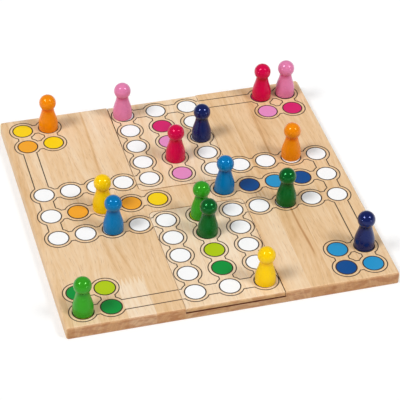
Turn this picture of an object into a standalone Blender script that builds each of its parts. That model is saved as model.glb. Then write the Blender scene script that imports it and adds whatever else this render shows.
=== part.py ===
"""A wooden ludo game: a milled board, its two loose lids and sixteen turned pawns.

Sizes are in metres. X runs to the right, Y to the back and Z up. The origin is
under the middle of the board, on the surface that the board lies on.
"""

import math

import bmesh
import bpy
from mathutils import Matrix

# Playing grid: eleven columns and eleven rows of round fields
field_spacing = 0.0200
centre_spacing = 0.0251  # from the middle column to the first one beside it
edge_margin = 0.0149  # from the outermost field centres to the board's edge
middle_index = 5

# Board panel
board_thickness = 0.0093
board_rim_radius = 0.0018
board_arris_radius = 0.0003

# The two channels, milled in from the front edge and from the back edge
channel_margin = 0.0109  # from the lid's outer field centres to the channel's wall
channel_corner_radius = 0.0045

# The two lids that lie in the channels
lid_thickness = 0.0033
lid_clearance = 0.0004
lid_end_radius = 0.0015
lid_arris_radius = 0.00025
back_lid_recess = 0.0010  # the back lid ends this far short of the board's edge
front_lid_shift = -0.0002  # how far each lid lies off the middle of its channel
back_lid_shift = 0.0002

# Seats: what rests on something keeps this distance
lid_seat_gap = 0.0008
pawn_seat_gap = 0.0003

# Pawn, turned from one piece of wood
pawn_base_radius = 0.0074
pawn_foot_radius = 0.0005
pawn_skirt_height = 0.0040
pawn_neck_radius = 0.0046
pawn_neck_height = 0.0191
pawn_head_radius = 0.0064

# How finely the turned and rounded shapes are drawn
turned_steps = 20
foot_steps = 2
flare_steps = 6
head_steps = 8
rim_segments = 3
corner_segments = 6
arris_segments = 1

# Cutters run past what they cut by this much
cut_overrun = 0.0020

# Colours
board_colour = (0.78, 0.56, 0.36)
lid_colour = (0.80, 0.60, 0.40)
pawn_colours = {
    "orange": (0.85, 0.26, 0.01),
    "yellow": (0.90, 0.60, 0.01),
    "crimson": (0.60, 0.01, 0.06),
    "pink": (0.75, 0.22, 0.42),
    "navy": (0.02, 0.02, 0.16),
    "blue": (0.01, 0.16, 0.45),
    "light_green": (0.08, 0.38, 0.02),
    "dark_green": (0.01, 0.15, 0.03),
}
wood_roughness = 0.55
lacquer_roughness = 0.18

# Where the pawns stand: colour, column, row, and how far off the middle of
# the field they stand, as shares of the field spacing
pawn_places_with_shares = (
    ("orange", 1, 0, 0.0, -0.02),
    ("orange", 9, 4, 0.02, 0.08),
    ("yellow", 2, 5, -0.085, 0.0),
    ("yellow", 6, 10, 0.0, 0.0),
    ("crimson", 9, 0, 0.04, 0.01),
    ("crimson", 5, 3, 0.0, 0.0),
    ("pink", 10, 0, 0.0, 0.0),
    ("pink", 4, 0, -0.06, 0.05),
    ("navy", 10, 9, 0.0, 0.0),
    ("navy", 6, 2, 0.04, 0.02),
    ("blue", 6, 5, 0.025, 0.01),
    ("blue", 2, 6, 0.02, 0.01),
    ("light_green", 0, 10, 0.0, 0.0),
    ("light_green", 5, 6, 0.03, 0.02),
    ("dark_green", 5, 7, 0.015, 0.01),
    ("dark_green", 8, 6, 0.02, 0.02),
)


def field_coordinate(index):
    """How far a column or a row lies from the board's middle."""
    steps = index - middle_index
    if steps == 0:
        return 0.0
    distance = centre_spacing + (abs(steps) - 1) * field_spacing
    return math.copysign(distance, steps)


# Sizes that follow from the ones above
last_index = 2 * middle_index
board_half = field_coordinate(last_index) + edge_margin
channel_half_width = centre_spacing + channel_margin
channel_inner_end = centre_spacing / 2
channel_depth = lid_thickness + lid_seat_gap
channel_floor = board_thickness - channel_depth
lid_half_width = channel_half_width - lid_clearance
lid_inner_end = channel_inner_end + lid_clearance
lid_corner_radius = channel_corner_radius - lid_clearance
lid_seat = channel_floor + lid_seat_gap
pawn_seat = board_thickness + pawn_seat_gap


def remove_old_objects():
    for old in list(bpy.data.objects):
        bpy.data.objects.remove(old, do_unlink=True)


def new_collection(name):
    collection = bpy.data.collections.new(name)
    bpy.context.scene.collection.children.link(collection)
    return collection


def new_material(name, colour, roughness):
    material = bpy.data.materials.new(name)
    material.use_nodes = True
    shader = material.node_tree.nodes["Principled BSDF"]
    shader.inputs["Base Color"].default_value = (*colour, 1.0)
    shader.inputs["Roughness"].default_value = roughness
    shader.inputs["Metallic"].default_value = 0.0
    return material


def new_object(name, mesh, collection, material=None):
    thing = bpy.data.objects.new(name, mesh)
    collection.objects.link(thing)
    if material is not None:
        mesh.materials.append(material)
    return thing


def block(half_x, half_y, height):
    """A block that stands on Z zero over the origin, as a bmesh."""
    shape = bmesh.new()
    bmesh.ops.create_cube(shape, size=1.0)
    bmesh.ops.translate(shape, vec=(0.0, 0.0, 0.5), verts=shape.verts)
    bmesh.ops.scale(shape, vec=(2 * half_x, 2 * half_y, height), verts=shape.verts)
    return shape


def round_edges(shape, edges, radius, segments):
    bmesh.ops.bevel(
        shape,
        geom=edges,
        offset=radius,
        offset_type="OFFSET",
        segments=segments,
        profile=0.5,
        affect="EDGES",
    )


def edge_middle(edge):
    return (edge.verts[0].co + edge.verts[1].co) / 2


def is_upright(edge):
    along = edge.verts[1].co - edge.verts[0].co
    return abs(along.z) > max(abs(along.x), abs(along.y))


def half_turn(shape):
    """Turn a shape that lies at the back of the board round to the front."""
    turn = Matrix.Rotation(math.pi, 3, "Z")
    bmesh.ops.rotate(shape, cent=(0.0, 0.0, 0.0), matrix=turn, verts=shape.verts)


def to_mesh(shape, name):
    mesh = bpy.data.meshes.new(name)
    shape.to_mesh(mesh)
    shape.free()
    return mesh


def soften_arrises(thing, radius):
    """Take the sharpness off every square edge that is left."""
    bevel = thing.modifiers.new("arrises", "BEVEL")
    bevel.limit_method = "ANGLE"
    bevel.angle_limit = math.radians(60)
    bevel.width = radius
    bevel.segments = arris_segments


def tongue(half_width, inner_end, outer_end, height, corner_radius):
    """A block along +Y whose two upright corners at the inner end are rounded."""
    half_length = (outer_end - inner_end) / 2
    shape = block(half_width, half_length, height)
    corners = [edge for edge in shape.edges if is_upright(edge) and edge_middle(edge).y < 0.0]
    round_edges(shape, corners, corner_radius, corner_segments)
    bmesh.ops.translate(shape, vec=(0.0, inner_end + half_length, 0.0), verts=shape.verts)
    return shape


def cut_channel(board, side, cutters):
    """Mill a stopped channel into the board from its front or its back edge."""
    shape = tongue(
        channel_half_width,
        channel_inner_end,
        board_half + cut_overrun,
        channel_depth + cut_overrun,
        channel_corner_radius,
    )
    if side == "front":
        half_turn(shape)
    name = side + "_channel"
    channel = new_object(name, to_mesh(shape, name), cutters)
    channel.location.z = channel_floor
    channel.display_type = "WIRE"
    channel.hide_render = True
    cut = board.modifiers.new(name, "BOOLEAN")
    cut.operation = "DIFFERENCE"
    cut.object = channel


def make_board(parts, cutters):
    """The panel, with its rim and corners rounded and both channels milled."""
    shape = block(board_half, board_half, board_thickness)
    low = board_thickness / 4
    rim_and_corners = [edge for edge in shape.edges if edge_middle(edge).z > low]
    round_edges(shape, rim_and_corners, board_rim_radius, rim_segments)
    wood = new_material("board_wood", board_colour, wood_roughness)
    board = new_object("board_panel", to_mesh(shape, "board_panel"), parts, wood)
    cut_channel(board, "front", cutters)
    cut_channel(board, "back", cutters)
    soften_arrises(board, board_arris_radius)
    return board


def make_lid(side, recess, shift, parts, board):
    """One loose lid, rounded across its outer end like the panel's rim."""
    outer_end = board_half - recess
    shape = tongue(lid_half_width, lid_inner_end, outer_end, lid_thickness, lid_corner_radius)
    low = lid_thickness / 2
    near_end = (lid_inner_end + outer_end) / 2
    top_end_edges = [
        edge
        for edge in shape.edges
        if edge_middle(edge).z > low
        and edge_middle(edge).y > near_end
        and abs(edge_middle(edge).x) < lid_half_width / 2
    ]
    round_edges(shape, top_end_edges, lid_end_radius, rim_segments)
    if side == "front":
        half_turn(shape)
    name = side + "_lid"
    wood = new_material(name + "_wood", lid_colour, wood_roughness)
    lid = new_object(name, to_mesh(shape, name), parts, wood)
    lid.parent = board
    lid.location = (shift, 0.0, lid_seat)
    soften_arrises(lid, lid_arris_radius)
    return lid


def pawn_outline():
    """The pawn's outer side as radius and height, from the crown down to the foot."""
    drop_to_neck = math.sqrt(pawn_head_radius**2 - pawn_neck_radius**2)
    head_height = pawn_neck_height + drop_to_neck
    neck_angle = math.pi - math.asin(pawn_neck_radius / pawn_head_radius)
    outline = []
    for step in range(head_steps + 1):
        angle = neck_angle * step / head_steps
        radius = pawn_head_radius * math.sin(angle)
        outline.append((radius, head_height + pawn_head_radius * math.cos(angle)))
    flare_height = pawn_neck_height - pawn_skirt_height
    flare_growth = pawn_base_radius - pawn_neck_radius
    for step in range(1, flare_steps + 1):
        way_down = step / flare_steps
        growth = flare_growth * (1 - math.cos(math.pi * way_down)) / 2
        outline.append((pawn_neck_radius + growth, pawn_neck_height - flare_height * way_down))
    foot_ring = pawn_base_radius - pawn_foot_radius
    for step in range(foot_steps + 1):
        angle = math.pi / 2 * step / foot_steps
        radius = foot_ring + pawn_foot_radius * math.cos(angle)
        outline.append((radius, pawn_foot_radius * (1 - math.sin(angle))))
    outline[0] = (0.0, outline[0][1])
    outline.append((0.0, 0.0))
    return outline


def turned_mesh(outline, name):
    """Turn an outline about Z into a closed, smoothly shaded mesh."""
    profile = bpy.data.meshes.new(name + "_outline")
    points = [(radius, 0.0, height) for radius, height in outline]
    links = [(index, index + 1) for index in range(len(points) - 1)]
    profile.from_pydata(points, links, [])
    lathe = bpy.data.objects.new(name + "_lathe", profile)
    bpy.context.scene.collection.objects.link(lathe)
    turn = lathe.modifiers.new("turn", "SCREW")
    turn.axis = "Z"
    turn.steps = turned_steps
    turn.render_steps = turned_steps
    turn.use_merge_vertices = True
    turn.merge_threshold = 0.00001
    graph = bpy.context.evaluated_depsgraph_get()
    mesh = bpy.data.meshes.new_from_object(lathe.evaluated_get(graph))
    mesh.name = name
    bpy.data.objects.remove(lathe, do_unlink=True)
    mesh.shade_smooth()
    mesh.set_sharp_from_angle(angle=math.radians(40))
    return mesh


def make_pawns(parts, board, lids):
    """All pawns, each on its field and carried by the piece that it stands on."""
    pawn_mesh = turned_mesh(pawn_outline(), "pawn")
    pawn_mesh.materials.append(None)
    made = {}
    for colour, column, row, share_x, share_y in pawn_places_with_shares:
        made[colour] = made.get(colour, 0) + 1
        pawn = new_object("pawn_%s_%d" % (colour, made[colour]), pawn_mesh, parts)
        lacquer = new_material(pawn.name + "_lacquer", pawn_colours[colour], lacquer_roughness)
        slot = pawn.material_slots[0]
        slot.link = "OBJECT"
        slot.material = lacquer
        x = field_coordinate(column) + share_x * field_spacing
        y = -field_coordinate(row) + share_y * field_spacing
        in_arm = abs(column - middle_index) <= 1
        if in_arm and row != middle_index:
            lid = lids["back" if row < middle_index else "front"]
            pawn.parent = lid
            pawn.location = (x - lid.location.x, y, pawn_seat - lid_seat)
        else:
            pawn.parent = board
            pawn.location = (x, y, pawn_seat)


def main():
    remove_old_objects()
    parts = new_collection("ludo_game")
    cutters = new_collection("cutters")
    board = make_board(parts, cutters)
    lids = {
        "front": make_lid("front", 0.0, front_lid_shift, parts, board),
        "back": make_lid("back", back_lid_recess, back_lid_shift, parts, board),
    }
    make_pawns(parts, board, lids)


main()
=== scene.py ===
import math

import bmesh
import bpy
from mathutils import Matrix, Vector


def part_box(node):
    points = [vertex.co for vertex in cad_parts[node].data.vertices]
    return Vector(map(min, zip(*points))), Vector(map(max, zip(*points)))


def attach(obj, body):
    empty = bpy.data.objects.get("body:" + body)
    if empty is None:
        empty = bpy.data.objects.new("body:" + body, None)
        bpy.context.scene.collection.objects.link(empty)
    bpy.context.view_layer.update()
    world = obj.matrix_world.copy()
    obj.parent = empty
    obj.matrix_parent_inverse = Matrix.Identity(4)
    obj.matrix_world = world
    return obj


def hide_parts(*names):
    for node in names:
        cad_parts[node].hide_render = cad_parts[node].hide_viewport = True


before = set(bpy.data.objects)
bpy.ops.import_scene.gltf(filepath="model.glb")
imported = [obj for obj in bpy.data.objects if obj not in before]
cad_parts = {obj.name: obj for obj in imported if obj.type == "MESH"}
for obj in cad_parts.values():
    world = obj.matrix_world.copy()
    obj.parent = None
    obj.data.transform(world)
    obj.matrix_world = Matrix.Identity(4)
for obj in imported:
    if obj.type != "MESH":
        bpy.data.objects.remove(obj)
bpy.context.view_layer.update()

# The board and its channels, in metres
board_half = 0.12
channel_side = 0.0360
channel_end = 0.01255

# Layout of the printed fields, in metres; the first step is in cells
cell = 0.0200
first_step = 1.257
ring_radius = 0.00748
ring_width = 0.00090
contour_radius = 0.0100
contour_width = 0.00074
neck_half_width = 0.0051
lid_ink_limit = 0.0353
board_ink_limit = 0.0363
ink_proud = 0.00005
print_arch = 0.00094
arch_reach = 0.0940
circle_steps = 48
same_place = 1e-6

# Staves of the wood: the ramp that holds them is 1 / 4 m long, and their finger joints are in metres
ramp_per_metre = 4.0
half_finger = 0.0015
finger_length = 0.0090

# Grain: steps of the noise per metre across the board, along it and upwards
sway_grain = (9.0, 14.0, 9.0)
broad_grain = (150.0, 4.5, 150.0)
fine_grain = (620.0, 11.0, 620.0)
mottle_grain = (430.0, 85.0, 430.0)
cloud_grain = (30.0, 17.0, 30.0)
pore_grain = (2100.0, 120.0, 2100.0)
patch_grain = (130.0, 130.0, 320.0)
ink_grain = (900.0, 60.0, 900.0)
turned_grain = (60.0, 60.0, 1500.0)
rings_per_metre = 420.0

# Where the looks of the wood change, each from one place to another, in metres.
# The last two are places across and along the board multiplied, in square metres.
middle_part = (0.0363, 0.0370)
# Walls this far from the ends get painted shade or painted light
wall_from_edge = (0.0014, 0.0020)
# Where the painted shade in the gap below each lid lies
lid_gap_shade_from_edge = (0.0010, 0.0060)
lid_gap_shade_side = (0.0359, 0.0361)
lid_gap_shade_bottom = (0.0048, 0.0051)
lid_gap_shade_top = (0.0061, 0.0067)
# The narrower gaps and the outer ends of the wider ones get painted shade, the rest painted light
narrow_gaps = (-0.0004, 0.0)
outer_ends = (-0.0034, -0.0020)

# Shape of the pawns, in metres
pawn_base_radius = 0.0074
pawn_foot_radius = 0.0005
pawn_skirt_height = 0.0040
pawn_neck_radius = 0.0046
pawn_neck_height = 0.0191
pawn_head_radius = 0.0064
pawn_neck_middle = 0.0287
turned_steps = 64
foot_steps = 6
flare_steps = 28
head_steps = 26
crease_degrees = 35

# Colours as they look, in steps of 0 to 255
ink_colours = {
    "white": (254, 254, 254),
    "orange": (246, 168, 40),
    "yellow": (251, 213, 12),
    "crimson": (216, 30, 108),
    "pink": (232, 143, 198),
    "dark_blue": (4, 76, 145),
    "light_blue": (36, 150, 205),
    "green": (4, 148, 58),
    "lime": (178, 204, 14),
    "line": (58, 42, 34),
}
lacquer_colours = {
    "orange": (247, 140, 0),
    "yellow": (255, 207, 0),
    "crimson": (213, 0, 70),
    "pink": (229, 129, 175),
    "navy": (4, 20, 81),
    "blue": (0, 116, 181),
    "light_green": (49, 155, 27),
    "dark_green": (0, 83, 25),
}
arm_colours = (("orange", "yellow"), ("crimson", "pink"), ("dark_blue", "light_blue"), ("green", "lime"))
wood_shades = (
    (0.0, (196, 146, 96)),
    (0.3, (225, 183, 133)),
    (0.55, (237, 201, 157)),
    (0.8, (244, 216, 181)),
    (1.0, (249, 227, 199)),
)
pore_colour = (170, 122, 84)
ring_colour = (176, 122, 82)
# Painted light and painted shade for the walls of the gaps, and painted shade below the lids
seam_light_tint = (255, 243, 224)
seam_shade_tint = (178, 152, 130)
lid_gap_shade_tint = (122, 58, 24)
end_tint = (219, 197, 177)
board_end_tint = (222, 208, 193)
lid_end_tint = (219, 196, 163)
patch_tint = (227, 203, 188)

# Lacquer: the bands above and below the neck's middle in which it changes, in metres,
# and how white its gloss is, from 0, its own colour, to 1
dull_below_neck = (-0.0040, 0.0)
body_roughness = 0.24
head_roughness = 0.09
# The band around the neck's middle that gets painted shade
neck_shade_span = (0.0004, 0.0034)
usual_whiteness = 0.12
gloss_whiteness = {"navy": 0.34}

# Lamps: name, azimuth and elevation, strength, and the angle that the lamp fills
lamps = (
    ("left_softbox", -75.0, 53.0, 1.50, 18.0),
    ("right_softbox", 52.0, 51.0, 1.11, 16.0),
    ("left_low_lamp", -72.0, 6.0, 0.19, 8.0),
    ("right_low_lamp", 42.0, 6.0, 0.19, 8.0),
)
world_level = 0.33
floor_half = 6.0
floor_drop = 0.0002
floor_shade = 0.82
floor_shade_seen = 0.60
floor_white = 0.43


def linear(colour):
    values = []
    for step in colour:
        value = step / 255
        if value <= 0.04045:
            values.append(value / 12.92)
        else:
            values.append(((value + 0.055) / 1.055) ** 2.4)
    return (*values, 1.0)


def grey(level):
    return (level, level, level, 1.0)


# Node helper
class Net:
    def __init__(self, owner):
        owner.use_nodes = True
        self.tree = owner.node_tree
        self.tree.nodes.clear()

    def add(self, kind, **settings):
        node = self.tree.nodes.new(kind)
        for name, value in settings.items():
            setattr(node, name, value)
        return node

    def join(self, value, socket):
        if isinstance(value, bpy.types.NodeSocket):
            self.tree.links.new(value, socket)
        else:
            socket.default_value = value

    def maths(self, operation, *values):
        node = self.add("ShaderNodeMath", operation=operation)
        for value, socket in zip(values, node.inputs):
            self.join(value, socket)
        return node.outputs[0]

    def total(self, *values):
        result = values[0]
        for value in values[1:]:
            result = self.maths("ADD", result, value)
        return result

    def scaled(self, vector, factors, shift=(0.0, 0.0, 0.0)):
        node = self.add("ShaderNodeVectorMath", operation="MULTIPLY_ADD")
        self.join(vector, node.inputs[0])
        self.join(factors, node.inputs[1])
        self.join(shift, node.inputs[2])
        return node.outputs[0]

    def split(self, vector):
        node = self.add("ShaderNodeSeparateXYZ")
        self.join(vector, node.inputs[0])
        return node.outputs[0], node.outputs[1], node.outputs[2]

    def combined(self, x, y, z):
        node = self.add("ShaderNodeCombineXYZ")
        self.join(x, node.inputs[0])
        self.join(y, node.inputs[1])
        self.join(z, node.inputs[2])
        return node.outputs[0]

    def noise(self, vector, scale=1.0, detail=2.0, roughness=0.5):
        node = self.add("ShaderNodeTexNoise")
        self.join(vector, node.inputs["Vector"])
        self.join(scale, node.inputs["Scale"])
        self.join(detail, node.inputs["Detail"])
        self.join(roughness, node.inputs["Roughness"])
        return node.outputs[0]

    def line_noise(self, value, detail=2.0):
        node = self.add("ShaderNodeTexNoise", noise_dimensions="1D")
        self.join(value, node.inputs["W"])
        self.join(1.0, node.inputs["Scale"])
        self.join(detail, node.inputs["Detail"])
        return node.outputs[0]

    def between(self, value, low, high, start=0.0, end=1.0):
        node = self.add("ShaderNodeMapRange", interpolation_type="SMOOTHSTEP")
        self.join(value, node.inputs["Value"])
        self.join(low, node.inputs["From Min"])
        self.join(high, node.inputs["From Max"])
        self.join(start, node.inputs["To Min"])
        self.join(end, node.inputs["To Max"])
        return node.outputs[0]

    def until(self, value, low, high):
        return self.between(value, low, high, 1.0, 0.0)

    def ramp(self, value, stops, interpolation="LINEAR"):
        node = self.add("ShaderNodeValToRGB")
        bar = node.color_ramp
        bar.interpolation = interpolation
        while len(bar.elements) < len(stops):
            bar.elements.new(1.0)
        for element, (position, colour) in zip(bar.elements, stops):
            element.position = position
            element.color = colour
        self.join(value, node.inputs[0])
        return node

    def mixed(self, factor, first, second, blend="MIX"):
        node = self.add("ShaderNodeMix", data_type="RGBA", blend_type=blend)
        self.join(factor, node.inputs[0])
        self.join(first, node.inputs[6])
        self.join(second, node.inputs[7])
        return node.outputs[2]

    def bump(self, height, distance, strength=1.0):
        node = self.add("ShaderNodeBump")
        self.join(height, node.inputs["Height"])
        self.join(distance, node.inputs["Distance"])
        self.join(strength, node.inputs["Strength"])
        return node.outputs[0]

    def finish_surface(self, **sockets):
        shader = self.add("ShaderNodeBsdfPrincipled", distribution="GGX")
        for name, value in sockets.items():
            self.join(value, shader.inputs[name.replace("_", " ")])
        output = self.add("ShaderNodeOutputMaterial")
        self.tree.links.new(shader.outputs[0], output.inputs[0])


# Staves side by side, some with a finger joint: the tone of each, and a number that tells them apart.
# One ramp along X holds a stave's two tones and its number as a colour, and its joint's place as alpha.
def stave_tones(net, x, y, staves, seed):
    def ramp_place(metres):
        return metres * ramp_per_metre + 0.5

    stops = []
    for index, (edge, front, back, joint) in enumerate(staves):
        number = (index * 0.618 + seed) % 1
        stops.append((ramp_place(edge * cell), (front, back, number, ramp_place(joint * cell))))
    across = net.maths("MULTIPLY_ADD", x, ramp_per_metre, 0.5)
    along = net.maths("MULTIPLY_ADD", y, ramp_per_metre, 0.5)
    layout = net.ramp(across, stops, "CONSTANT")
    held = net.add("ShaderNodeSeparateColor")
    net.join(layout.outputs[0], held.inputs[0])
    front_tone, back_tone, number = held.outputs[:3]
    reach = finger_length * ramp_per_metre
    fingers = net.maths("PINGPONG", x, half_finger)
    toothed = net.maths("MULTIPLY_ADD", fingers, reach / half_finger, along)
    beyond = net.maths("SUBTRACT", toothed, layout.outputs[1])
    behind = net.maths("GREATER_THAN", beyond, reach / 2)
    step = net.maths("SUBTRACT", back_tone, front_tone)
    tone = net.maths("MULTIPLY_ADD", step, behind, front_tone)
    chance = net.maths("MULTIPLY_ADD", behind, 0.37, number)
    return tone, chance


# Single streaks and pale bands
def with_marks(net, tone, x, y, sway, fine, marks):
    wavering = net.maths("MULTIPLY_ADD", sway, 0.005, x)
    lively = net.maths("MULTIPLY_ADD", fine, 1.2, 0.4)
    for front_x, back_x, front, back, half_width, strength in marks:
        lean = (back_x - front_x) / (back - front)
        base = (front_x - lean * front) * cell + 0.0025
        off_line = net.maths("MULTIPLY_ADD", y, -lean, net.maths("ADD", wavering, -base))
        side = net.until(net.maths("ABSOLUTE", off_line), 0.0, half_width * cell)
        middle = (front + back) / 2 * cell
        half_length = (back - front) / 2 * cell
        travel = net.maths("ABSOLUTE", net.maths("ADD", y, -middle))
        ends = net.until(travel, half_length * 0.55, half_length * 1.1)
        amount = net.maths("MULTIPLY", net.maths("MULTIPLY", side, ends), lively)
        tone = net.maths("MULTIPLY_ADD", amount, strength, tone)
    return tone


# Painted shade and painted light in the gaps: the walls of the channels are painted darker along the two
# narrower gaps beside the lids and at the outer end of the two wider ones, and painted paler elsewhere, so
# the seams show dark or faint. Painted shade darkens the gap below each lid.
def with_painted_gap_shade(net, colour, x, y, z, upright, inside):
    from_edge = net.maths("SUBTRACT", board_half, net.maths("ABSOLUTE", y))
    walls = net.maths("MULTIPLY", upright, net.between(from_edge, *wall_from_edge))
    walls = net.maths("MULTIPLY", walls, inside)
    # Painted light on the walls of the wider gaps, painted shade on the narrower ones and at the outer
    # ends
    diagonal = net.maths("MULTIPLY", x, y)
    seam_shade = net.maths("MAXIMUM", net.between(diagonal, *narrow_gaps), net.until(diagonal, *outer_ends))
    seam_light = net.maths("MULTIPLY_ADD", seam_shade, -0.7, 0.7)
    colour = net.mixed(net.maths("MULTIPLY", walls, seam_light), colour, linear(seam_light_tint))
    colour = net.mixed(net.maths("MULTIPLY", walls, seam_shade), colour, linear(seam_shade_tint), "MULTIPLY")
    # Painted shade in the gap below each lid, on the lid's lower front edge and the front of the channel
    # floor
    lid_gap_shade = net.maths("MULTIPLY", net.between(z, *lid_gap_shade_bottom), net.until(z, *lid_gap_shade_top))
    lid_gap_shade = net.maths("MULTIPLY", lid_gap_shade, net.until(from_edge, *lid_gap_shade_from_edge))
    lid_gap_shade = net.maths("MULTIPLY", lid_gap_shade, net.until(net.maths("ABSOLUTE", x), *lid_gap_shade_side))
    return net.mixed(lid_gap_shade, colour, linear(lid_gap_shade_tint), "MULTIPLY")


# End grain is darker and redder than the top, with patches and rings in it
def with_end_grain(net, colour, place, cut_across, inside, rings, middle_end_tint):
    tint = net.mixed(inside, linear(end_tint), linear(middle_end_tint))
    colour = net.mixed(cut_across, colour, tint, "MULTIPLY")
    spots = net.noise(net.scaled(place, patch_grain))
    patches = net.between(spots, 0.46, 0.60, 0.0, 0.75)
    colour = net.mixed(net.maths("MULTIPLY", patches, cut_across), colour, linear(patch_tint), "MULTIPLY")
    ring_lines = net.between(rings, 0.42, 0.62, 0.0, 0.35)
    return net.mixed(net.maths("MULTIPLY", ring_lines, cut_across), colour, linear(ring_colour))


# Wood of glued staves, with its grain along Y and leaning a little more or less in each stave
def make_wood(name, staves, marks, seed, middle_end_tint):
    material = bpy.data.materials.new(name)
    net = Net(material)
    coordinates = net.add("ShaderNodeTexCoord")
    place = coordinates.outputs["Object"]
    x, y, z = net.split(place)
    tone, chance = stave_tones(net, x, y, staves, seed)

    shift = net.combined(chance, net.maths("MULTIPLY", chance, 31.0), chance)
    moved = net.scaled(shift, (7.0, 1.0, 3.0), place)
    sway = net.noise(net.scaled(moved, sway_grain), detail=1.0)
    slope = net.maths("MULTIPLY_ADD", chance, 0.16, -0.10)
    leaning = net.maths("MULTIPLY_ADD", slope, y, x)
    swayed = net.maths("MULTIPLY_ADD", sway, 0.006, leaning)
    grain_place = net.combined(swayed, net.maths("MULTIPLY_ADD", chance, 31.0, y), z)
    broad = net.noise(net.scaled(grain_place, broad_grain), detail=1.0)
    fine = net.noise(net.scaled(grain_place, fine_grain), detail=2.0)
    mottle = net.noise(net.scaled(grain_place, mottle_grain), detail=2.0)
    cloud = net.noise(net.scaled(moved, cloud_grain), detail=1.0)
    pores = net.noise(net.scaled(grain_place, pore_grain), detail=1.0)
    heart = net.maths("MULTIPLY_ADD", chance, 0.09, net.maths("ADD", swayed, -0.045))
    depth = net.maths("ADD", z, 0.021)
    squares = net.total(net.maths("MULTIPLY", heart, heart), net.maths("MULTIPLY", depth, depth))
    rings = net.line_noise(net.maths("MULTIPLY", net.maths("SQRT", squares), rings_per_metre))
    for part, share in ((broad, 0.40), (fine, 0.28), (rings, 0.26), (mottle, 0.38), (cloud, 0.34)):
        tone = net.maths("MULTIPLY_ADD", net.maths("ADD", part, -0.5), share, tone)
    tone = with_marks(net, tone, x, y, sway, fine, marks)
    shades = net.ramp(tone, [(position, linear(shade)) for position, shade in wood_shades])
    dark_pores = net.between(pores, 0.60, 0.72, 0.0, 0.30)
    colour = net.mixed(dark_pores, shades.outputs[0], linear(pore_colour))

    facing = net.split(coordinates.outputs["Normal"])
    cut_across = net.between(net.maths("ABSOLUTE", facing[1]), 0.35, 0.9)
    upright = net.until(net.maths("ABSOLUTE", facing[2]), 0.3, 0.7)
    inside = net.until(net.maths("ABSOLUTE", x), *middle_part)
    colour = with_painted_gap_shade(net, colour, x, y, z, upright, inside)
    colour = with_end_grain(net, colour, place, cut_across, inside, rings, middle_end_tint)

    roughness = net.maths("MULTIPLY_ADD", fine, 0.16, 0.42)
    height = net.maths("SUBTRACT", net.maths("MULTIPLY", fine, 0.5), dark_pores)
    net.finish_surface(
        Base_Color=colour,
        Roughness=roughness,
        Normal=net.bump(height, 0.00006, 0.6),
        Specular_IOR_Level=0.3,
    )
    return material


# Printed ink: a thin even film that lets a little of the grain's relief through
def make_ink(name, colour):
    material = bpy.data.materials.new("ink_" + name)
    net = Net(material)
    place = net.add("ShaderNodeTexCoord").outputs["Object"]
    relief = net.noise(net.scaled(place, ink_grain), detail=2.0)
    film = net.noise(place, 160.0, 3.0)
    shade = net.between(film, 0.3, 0.7, 0.0, 0.05)
    tone = net.mixed(shade, linear(colour), linear(tuple(step * 0.9 for step in colour)))
    roughness = net.maths("MULTIPLY_ADD", film, 0.12, 0.42)
    net.finish_surface(
        Base_Color=tone,
        Roughness=roughness,
        Normal=net.bump(relief, 0.00002, 0.5),
        Specular_IOR_Level=0.3,
    )
    return material


# Lacquer on turned wood: glossy on the head and duller on the body, with painted shade, a deeper tone,
# around the neck under the head
def make_lacquer(name, colour):
    material = bpy.data.materials.new("lacquer_" + name)
    net = Net(material)
    place = net.add("ShaderNodeTexCoord").outputs["Object"]
    cloud = net.noise(place, 120.0, 2.0)
    orange_peel = net.noise(place, 700.0, 2.0)
    turned = net.noise(net.scaled(place, turned_grain), detail=1.0)
    deep = tuple(step * 0.92 for step in colour)
    neck_shade_tone = tuple(247 * (step / 255) ** 1.45 for step in colour)
    tone = net.mixed(net.between(cloud, 0.35, 0.75, 0.0, 0.5), linear(colour), linear(deep))
    above_neck = net.maths("ADD", net.split(place)[2], -pawn_neck_middle)
    off_neck = net.maths("ABSOLUTE", above_neck)
    # Painted shade: a deeper tone around the neck, under the head
    tone = net.mixed(net.between(off_neck, *neck_shade_span, 0.75, 0.0), tone, linear(neck_shade_tone))
    base_roughness = net.between(above_neck, *dull_below_neck, body_roughness, head_roughness)
    roughness = net.maths("MULTIPLY_ADD", cloud, 0.06, base_roughness)
    height = net.total(net.maths("MULTIPLY", turned, 0.35), orange_peel)
    whiteness = gloss_whiteness.get(name, usual_whiteness)
    steps = linear(colour)[:3]
    sheen = tuple(whiteness + (1 - whiteness) * (step / max(steps)) ** 0.7 for step in steps)
    net.finish_surface(
        Base_Color=tone,
        Roughness=roughness,
        Normal=net.bump(height, 0.00003, 0.12),
        Specular_IOR_Level=0.68,
        Specular_Tint=(*sheen, 1.0),
        Coat_Weight=0.10,
        Coat_Roughness=0.10,
    )
    return material


# Mesh helpers
def object_from_bmesh(name, shape, material, body):
    bmesh.ops.recalc_face_normals(shape, faces=shape.faces)
    mesh = bpy.data.meshes.new(name)
    shape.to_mesh(mesh)
    shape.free()
    mesh.materials.append(material)
    piece = bpy.data.objects.new(name, mesh)
    bpy.context.scene.collection.objects.link(piece)
    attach(piece, body)
    return piece


def circle_points(middle, radius, start=0.0, end=math.tau, steps=circle_steps):
    points = []
    for index in range(steps + 1):
        angle = start + (end - start) * index / steps
        points.append(middle + radius * Vector((math.cos(angle), math.sin(angle))))
    return points


def add_disc(shape, middle, radius, low, high):
    outline = circle_points(middle, radius)[:-1]
    upper = [shape.verts.new((point.x, point.y, high)) for point in outline]
    lower = [shape.verts.new((point.x, point.y, low)) for point in outline]
    shape.faces.new(upper)
    shape.faces.new(list(reversed(lower)))
    for index in range(len(outline)):
        following = (index + 1) % len(outline)
        shape.faces.new((lower[index], lower[following], upper[following], upper[index]))


def side_direction(before, after):
    along = (after - before).normalized()
    return Vector((-along.y, along.x))


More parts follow.
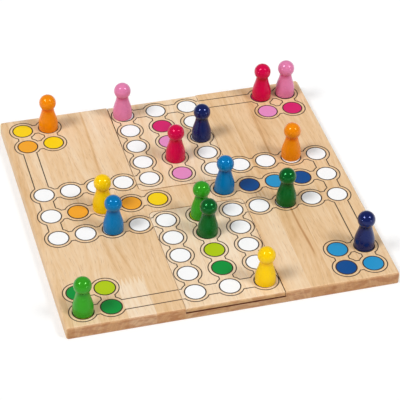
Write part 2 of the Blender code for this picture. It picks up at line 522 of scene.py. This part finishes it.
def add_ribbon(shape, points, width, low, high):
    closed = (points[0] - points[-1]).length < same_place
    if closed:
        points = points[:-1]
    count = len(points)
    rows = []
    for index, point in enumerate(points):
        sides = []
        if closed or index > 0:
            sides.append(side_direction(points[index - 1], point))
        if closed or index < count - 1:
            sides.append(side_direction(point, points[(index + 1) % count]))
        if len(sides) == 2:
            offset = (sides[0] + sides[1]) / (1 + sides[0].dot(sides[1]))
        else:
            offset = sides[0]
        left = point + offset * width / 2
        right = point - offset * width / 2
        rows.append([
            shape.verts.new((left.x, left.y, high)),
            shape.verts.new((right.x, right.y, high)),
            shape.verts.new((right.x, right.y, low)),
            shape.verts.new((left.x, left.y, low)),
        ])
    pairs = list(zip(rows, rows[1:]))
    if closed:
        pairs.append((rows[-1], rows[0]))
    for near, far in pairs:
        for corner in range(4):
            following = (corner + 1) % 4
            shape.faces.new((near[corner], near[following], far[following], far[corner]))
    if not closed:
        shape.faces.new(rows[0])
        shape.faces.new(list(reversed(rows[-1])))


# Fields and the links between them, by steps from the middle
def coordinate(step):
    if step == 0:
        return 0.0
    return math.copysign(first_step + abs(step) - 1, step) * cell


def field_middle(field):
    return Vector((coordinate(field[0]), coordinate(field[1])))


def turned_quarter(field):
    return (field[1], -field[0])


def make_fields():
    colours = {}
    for quarter, (strong, light) in enumerate(arm_colours):
        fields = {}
        for step in range(1, 6):
            for side in (-1, 0, 1):
                fields[(-step, side)] = "white"
            if step < 5:
                fields[(-step, 0)] = strong if step % 2 == 0 else light
        for outward in (4, 5):
            for backward in (4, 5):
                fields[(-outward, backward)] = light if outward == backward else strong
        for field, colour in fields.items():
            for _ in range(quarter):
                field = turned_quarter(field)
            colours[field] = colour
    return colours


def make_links():
    links = []
    for quarter in range(4):
        pairs = []
        for step in range(1, 5):
            for side in (-1, 0, 1):
                pairs.append(((-step, side), (-step - 1, side)))
        pairs.append(((-5, -1), (-5, 0)))
        pairs.append(((-5, 0), (-5, 1)))
        pairs.append(((-5, 4), (-5, 1)))
        for near in (4, 5):
            pairs.append(((-near, 4), (-near, 5)))
            pairs.append(((-4, near), (-5, near)))
        for first, second in pairs:
            for _ in range(quarter):
                first = turned_quarter(first)
                second = turned_quarter(second)
            links.append((first, second))
    return links


def carrier_of(point):
    if abs(point.x) < channel_side and abs(point.y) > channel_end:
        return "front_lid" if point.y < 0 else "back_lid"
    return "board"


def split_at_seam(start, end):
    if start.x > end.x:
        start, end = end, start
    parts = []
    if abs(start.y - end.y) < same_place and abs(start.y) > channel_end:
        left = (-board_half, -board_ink_limit)
        middle = (-lid_ink_limit, lid_ink_limit)
        right = (board_ink_limit, board_half)
        for lowest, highest in (left, middle, right):
            low = max(start.x, lowest)
            high = min(end.x, highest)
            if high > low:
                parts.append([Vector((low, start.y)), Vector((high, start.y))])
    else:
        parts.append([start, end])
    return parts


def contour_segments(fields, links):
    segments = []
    opened = {field: [] for field in fields}
    for first, second in links:
        start = field_middle(first)
        end = field_middle(second)
        along = (end - start).normalized()
        across = Vector((-along.y, along.x))
        inset = math.sqrt(contour_radius ** 2 - neck_half_width ** 2)
        for side in (-1, 1):
            shift = across * side * neck_half_width
            segments += split_at_seam(start + along * inset + shift, end - along * inset + shift)
        opened[first].append(math.atan2(along.y, along.x) % math.tau)
        opened[second].append(math.atan2(-along.y, -along.x) % math.tau)
    half_gap = math.asin(neck_half_width / contour_radius)
    for field, angles in opened.items():
        middle = field_middle(field)
        angles.sort()
        for index, angle in enumerate(angles):
            following = angles[(index + 1) % len(angles)]
            if index == len(angles) - 1:
                following += math.tau
            start = angle + half_gap
            end = following - half_gap
            steps = max(2, round((end - start) / math.tau * circle_steps))
            segments.append(circle_points(middle, contour_radius, start, end, steps))
    return segments


def joined_chains(segments):
    waiting = list(segments)
    chains = []
    while waiting:
        chain = waiting.pop()
        growing = True
        while growing:
            growing = False
            for index, segment in enumerate(waiting):
                if (segment[0] - chain[-1]).length < same_place:
                    chain = chain + segment[1:]
                elif (segment[-1] - chain[-1]).length < same_place:
                    chain = chain + segment[-2::-1]
                elif (segment[-1] - chain[0]).length < same_place:
                    chain = segment[:-1] + chain
                elif (segment[0] - chain[0]).length < same_place:
                    chain = segment[:0:-1] + chain
                else:
                    continue
                waiting.pop(index)
                growing = True
                break
        chains.append(chain)
    return chains


# The bow of the real board sets the middle of its print back a little, as the photograph shows it
def arched(point):
    return Vector((point.x, point.y + print_arch * (1 - (point.x / arch_reach) ** 2)))


def make_print():
    fields = make_fields()
    inks = {name: make_ink(name, colour) for name, colour in ink_colours.items()}
    tops = {}
    shifts = {}
    for body, node in (("board", "board_panel"), ("front_lid", "front_lid"), ("back_lid", "back_lid")):
        low_corner, high_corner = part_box(node)
        tops[body] = high_corner.z
        shifts[body] = Vector(((low_corner.x + high_corner.x) / 2, 0.0))
    shapes = {}
    for field, colour in sorted(fields.items()):
        middle = field_middle(field)
        body = carrier_of(middle)
        middle = arched(middle) + shifts[body]
        low = tops[body] - ink_proud
        high = tops[body] + ink_proud
        disc = shapes.setdefault((body, colour), bmesh.new())
        add_disc(disc, middle, ring_radius - ring_width / 2, low, high)
        line = shapes.setdefault((body, "line"), bmesh.new())
        add_ribbon(line, circle_points(middle, ring_radius), ring_width, low, high)
    for chain in joined_chains(contour_segments(fields, make_links())):
        body = carrier_of((chain[0] + chain[1]) / 2)
        chain = [arched(point) + shifts[body] for point in chain]
        low = tops[body] - ink_proud
        high = tops[body] + ink_proud
        add_ribbon(shapes[(body, "line")], chain, contour_width, low, high)
    for (body, colour), shape in sorted(shapes.items()):
        object_from_bmesh("print_" + body + "_" + colour, shape, inks[colour], body)


# Pawns turned from one outline
def pawn_outline():
    points = []
    middle_radius = pawn_base_radius - pawn_foot_radius
    for index in range(foot_steps + 1):
        angle = math.pi / 2 * index / foot_steps
        radius = middle_radius + pawn_foot_radius * math.sin(angle)
        points.append((radius, pawn_foot_radius * (1 - math.cos(angle))))
    for index in range(flare_steps + 1):
        share = index / flare_steps
        height = pawn_skirt_height + share * (pawn_neck_height - pawn_skirt_height)
        blend = (1 + math.cos(math.pi * share)) / 2
        radius = pawn_neck_radius + (pawn_base_radius - pawn_neck_radius) * blend
        points.append((radius, height))
    head_height = pawn_neck_height + math.sqrt(pawn_head_radius ** 2 - pawn_neck_radius ** 2)
    lowest = math.pi - math.asin(pawn_neck_radius / pawn_head_radius)
    for index in range(1, head_steps + 1):
        angle = lowest * (1 - index / head_steps)
        radius = pawn_head_radius * math.sin(angle)
        points.append((radius, head_height + pawn_head_radius * math.cos(angle)))
    return points


def make_pawn(node, body, material):
    low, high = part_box(node)
    middle = (low + high) / 2
    shape = bmesh.new()
    rows = []
    for radius, height in pawn_outline()[:-1]:
        row = []
        for index in range(turned_steps):
            angle = math.tau * index / turned_steps
            x = middle.x + radius * math.cos(angle)
            y = middle.y + radius * math.sin(angle)
            row.append(shape.verts.new((x, y, low.z + height)))
        rows.append(row)
    crown = shape.verts.new((middle.x, middle.y, high.z))
    for lower, upper in zip(rows, rows[1:]):
        for index in range(turned_steps):
            following = (index + 1) % turned_steps
            shape.faces.new((lower[index], lower[following], upper[following], upper[index]))
    for index in range(turned_steps):
        following = (index + 1) % turned_steps
        shape.faces.new((rows[-1][index], rows[-1][following], crown))
    shape.faces.new(list(reversed(rows[0])))
    piece = object_from_bmesh(node + "_turned", shape, material, body)
    piece.data.shade_smooth()
    piece.data.set_sharp_from_angle(angle=math.radians(crease_degrees))
    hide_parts(node)


def make_pawns():
    materials = {name: make_lacquer(name, colour) for name, colour in lacquer_colours.items()}
    for node in sorted(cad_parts):
        if node.startswith("pawn_"):
            body = node[len("pawn_"):]
            colour = body[:-2]
            make_pawn(node, body, materials[colour])


# Staves: left edge in cells, tone in front of the joint, tone behind it, joint in cells.
# Marks: place across at their front and back end, front and back end, half width, and change of tone.
board_staves = (
    (-6.2, 0.47, 0.50, 9.0),
    (-5.76, 0.66, 0.64, -1.0),
    (-4.80, 0.60, 0.57, 0.6),
    (-3.84, 0.90, 0.56, -4.1),
    (-2.88, 0.56, 0.60, 0.7),
    (-1.92, 0.55, 0.57, 9.0),
    (-0.96, 0.54, 0.54, 9.0),
    (0.0, 0.59, 0.57, 9.0),
    (0.95, 0.50, 0.50, 9.0),
    (1.85, 0.66, 0.50, -0.6),
    (2.72, 0.43, 0.48, 0.4),
    (3.60, 0.50, 0.46, 0.2),
    (4.62, 0.52, 0.55, -0.3),
    (5.60, 0.56, 0.55, 9.0),
)
board_marks = (
    (-3.10, -3.40, -3.6, -2.0, 0.06, -0.22),
    (-3.60, -3.72, -3.6, -1.6, 0.12, -0.14),
    (-3.30, -3.30, -4.4, -1.0, 0.34, -0.06),
    (-2.66, -2.50, 0.6, 6.8, 0.36, 0.20),
    (-2.96, -2.86, 1.6, 6.2, 0.08, -0.30),
    (-3.40, -3.25, 2.0, 4.6, 0.06, -0.16),
    (3.36, 3.32, -4.6, -0.9, 0.07, -0.50),
    (3.05, 3.05, -3.6, -0.9, 0.30, -0.12),
    (3.62, 3.58, -4.4, -1.2, 0.05, -0.18),
    (3.54, 3.62, 1.2, 4.6, 0.07, -0.34),
    (3.74, 3.70, 1.6, 6.6, 0.20, -0.12),
    (2.25, 2.25, -6.4, -1.0, 0.35, 0.08),
)
front_lid_staves = (
    (-6.2, 0.80, 0.80, 9.0),
    (-0.96, 0.88, 0.88, 9.0),
    (0.0, 0.84, 0.84, 9.0),
    (0.95, 0.72, 0.72, 9.0),
)
front_lid_marks = ((0.70, 0.70, -6.0, -1.0, 0.22, 0.12),)
back_lid_staves = (
    (-6.2, 0.80, 0.80, 9.0),
    (-0.96, 0.79, 0.79, 9.0),
    (0.0, 0.74, 0.74, 9.0),
    (0.95, 0.72, 0.72, 9.0),
)
back_lid_marks = ((0.66, 0.66, 0.6, 6.6, 0.24, 0.16),)

woods = {
    "board_panel": make_wood("board_wood", board_staves, board_marks, 0.11, board_end_tint),
    "front_lid": make_wood("front_lid_wood", front_lid_staves, front_lid_marks, 0.47, lid_end_tint),
    "back_lid": make_wood("back_lid_wood", back_lid_staves, back_lid_marks, 0.83, lid_end_tint),
}
for node, material in woods.items():
    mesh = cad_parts[node].data
    mesh.materials.clear()
    mesh.materials.append(material)

make_print()
make_pawns()


# Camera, fitted to the printed fields of the photograph
def make_camera():
    data = bpy.data.cameras.new("camera")
    data.sensor_fit = "HORIZONTAL"
    data.sensor_width = 36.0
    data.lens = 171.315
    camera = bpy.data.objects.new("camera", data)
    bpy.context.scene.collection.objects.link(camera)
    right = Vector((0.96378, -0.26575, 0.02248))
    up = Vector((0.15110, 0.61356, 0.77506))
    back = Vector((-0.21976, -0.74359, 0.63149))
    place = Vector((-0.302532, -1.047278, 0.892062))
    turn = Matrix((right, up, back)).transposed().to_4x4()
    camera.matrix_world = Matrix.Translation(place) @ turn
    bpy.context.scene.camera = camera


# Lights: two softboxes and two weak low lamps as wide suns, and an even world
def make_sun(name, azimuth, elevation, strength, angle):
    data = bpy.data.lights.new(name, "SUN")
    data.energy = strength
    data.angle = math.radians(angle)
    lamp = bpy.data.objects.new(name, data)
    bpy.context.scene.collection.objects.link(lamp)
    turn = math.radians(azimuth)
    rise = math.radians(elevation)
    towards = Vector((math.sin(turn) * math.cos(rise), -math.cos(turn) * math.cos(rise), math.sin(rise)))
    lamp.rotation_mode = "QUATERNION"
    lamp.rotation_quaternion = towards.to_track_quat("Z", "Y")


def seen_directly(net):
    path = net.add("ShaderNodeLightPath")
    direct = net.maths("MAXIMUM", path.outputs["Is Camera Ray"], path.outputs["Is Glossy Ray"])
    return net.maths("MAXIMUM", direct, path.outputs["Is Transmission Ray"])


def make_world(level):
    world = bpy.data.worlds.new("studio")
    bpy.context.scene.world = world
    net = Net(world)
    direction = net.add("ShaderNodeTexCoord").outputs["Generated"]
    low_down = net.until(net.split(direction)[2], 0.06, 0.16)
    white_part = net.maths("MULTIPLY", low_down, seen_directly(net))
    background = net.add("ShaderNodeBackground")
    net.join(grey(1.0), background.inputs["Color"])
    net.join(net.maths("MULTIPLY_ADD", white_part, 1.0 - level, level), background.inputs["Strength"])
    output = net.add("ShaderNodeOutputWorld")
    net.tree.links.new(background.outputs[0], output.inputs[0])


# The floor is partly white in itself to the camera and to gloss, and keeps the object's shadow
def make_floor():
    material = bpy.data.materials.new("floor_white")
    net = Net(material)
    direct = seen_directly(net)
    tint = net.mixed(direct, grey(floor_shade), grey(floor_shade_seen))
    shader = net.add("ShaderNodeBsdfDiffuse")
    net.join(tint, shader.inputs["Color"])
    white = net.add("ShaderNodeEmission")
    net.join(net.maths("MULTIPLY", direct, floor_white), white.inputs["Strength"])
    both = net.add("ShaderNodeAddShader")
    net.tree.links.new(shader.outputs[0], both.inputs[0])
    net.tree.links.new(white.outputs[0], both.inputs[1])
    output = net.add("ShaderNodeOutputMaterial")
    net.tree.links.new(both.outputs[0], output.inputs[0])
    shape = bmesh.new()
    corners = []
    for x, y in ((-1, -1), (1, -1), (1, 1), (-1, 1)):
        corners.append(shape.verts.new((x * floor_half, y * floor_half, -floor_drop)))
    shape.faces.new(corners)
    mesh = bpy.data.meshes.new("floor")
    shape.to_mesh(mesh)
    shape.free()
    mesh.materials.append(material)
    floor = bpy.data.objects.new("floor", mesh)
    bpy.context.scene.collection.objects.link(floor)


make_camera()
for lamp_settings in lamps:
    make_sun(*lamp_settings)
make_world(world_level)
make_floor()
bpy.context.scene.view_settings.view_transform = "Standard"
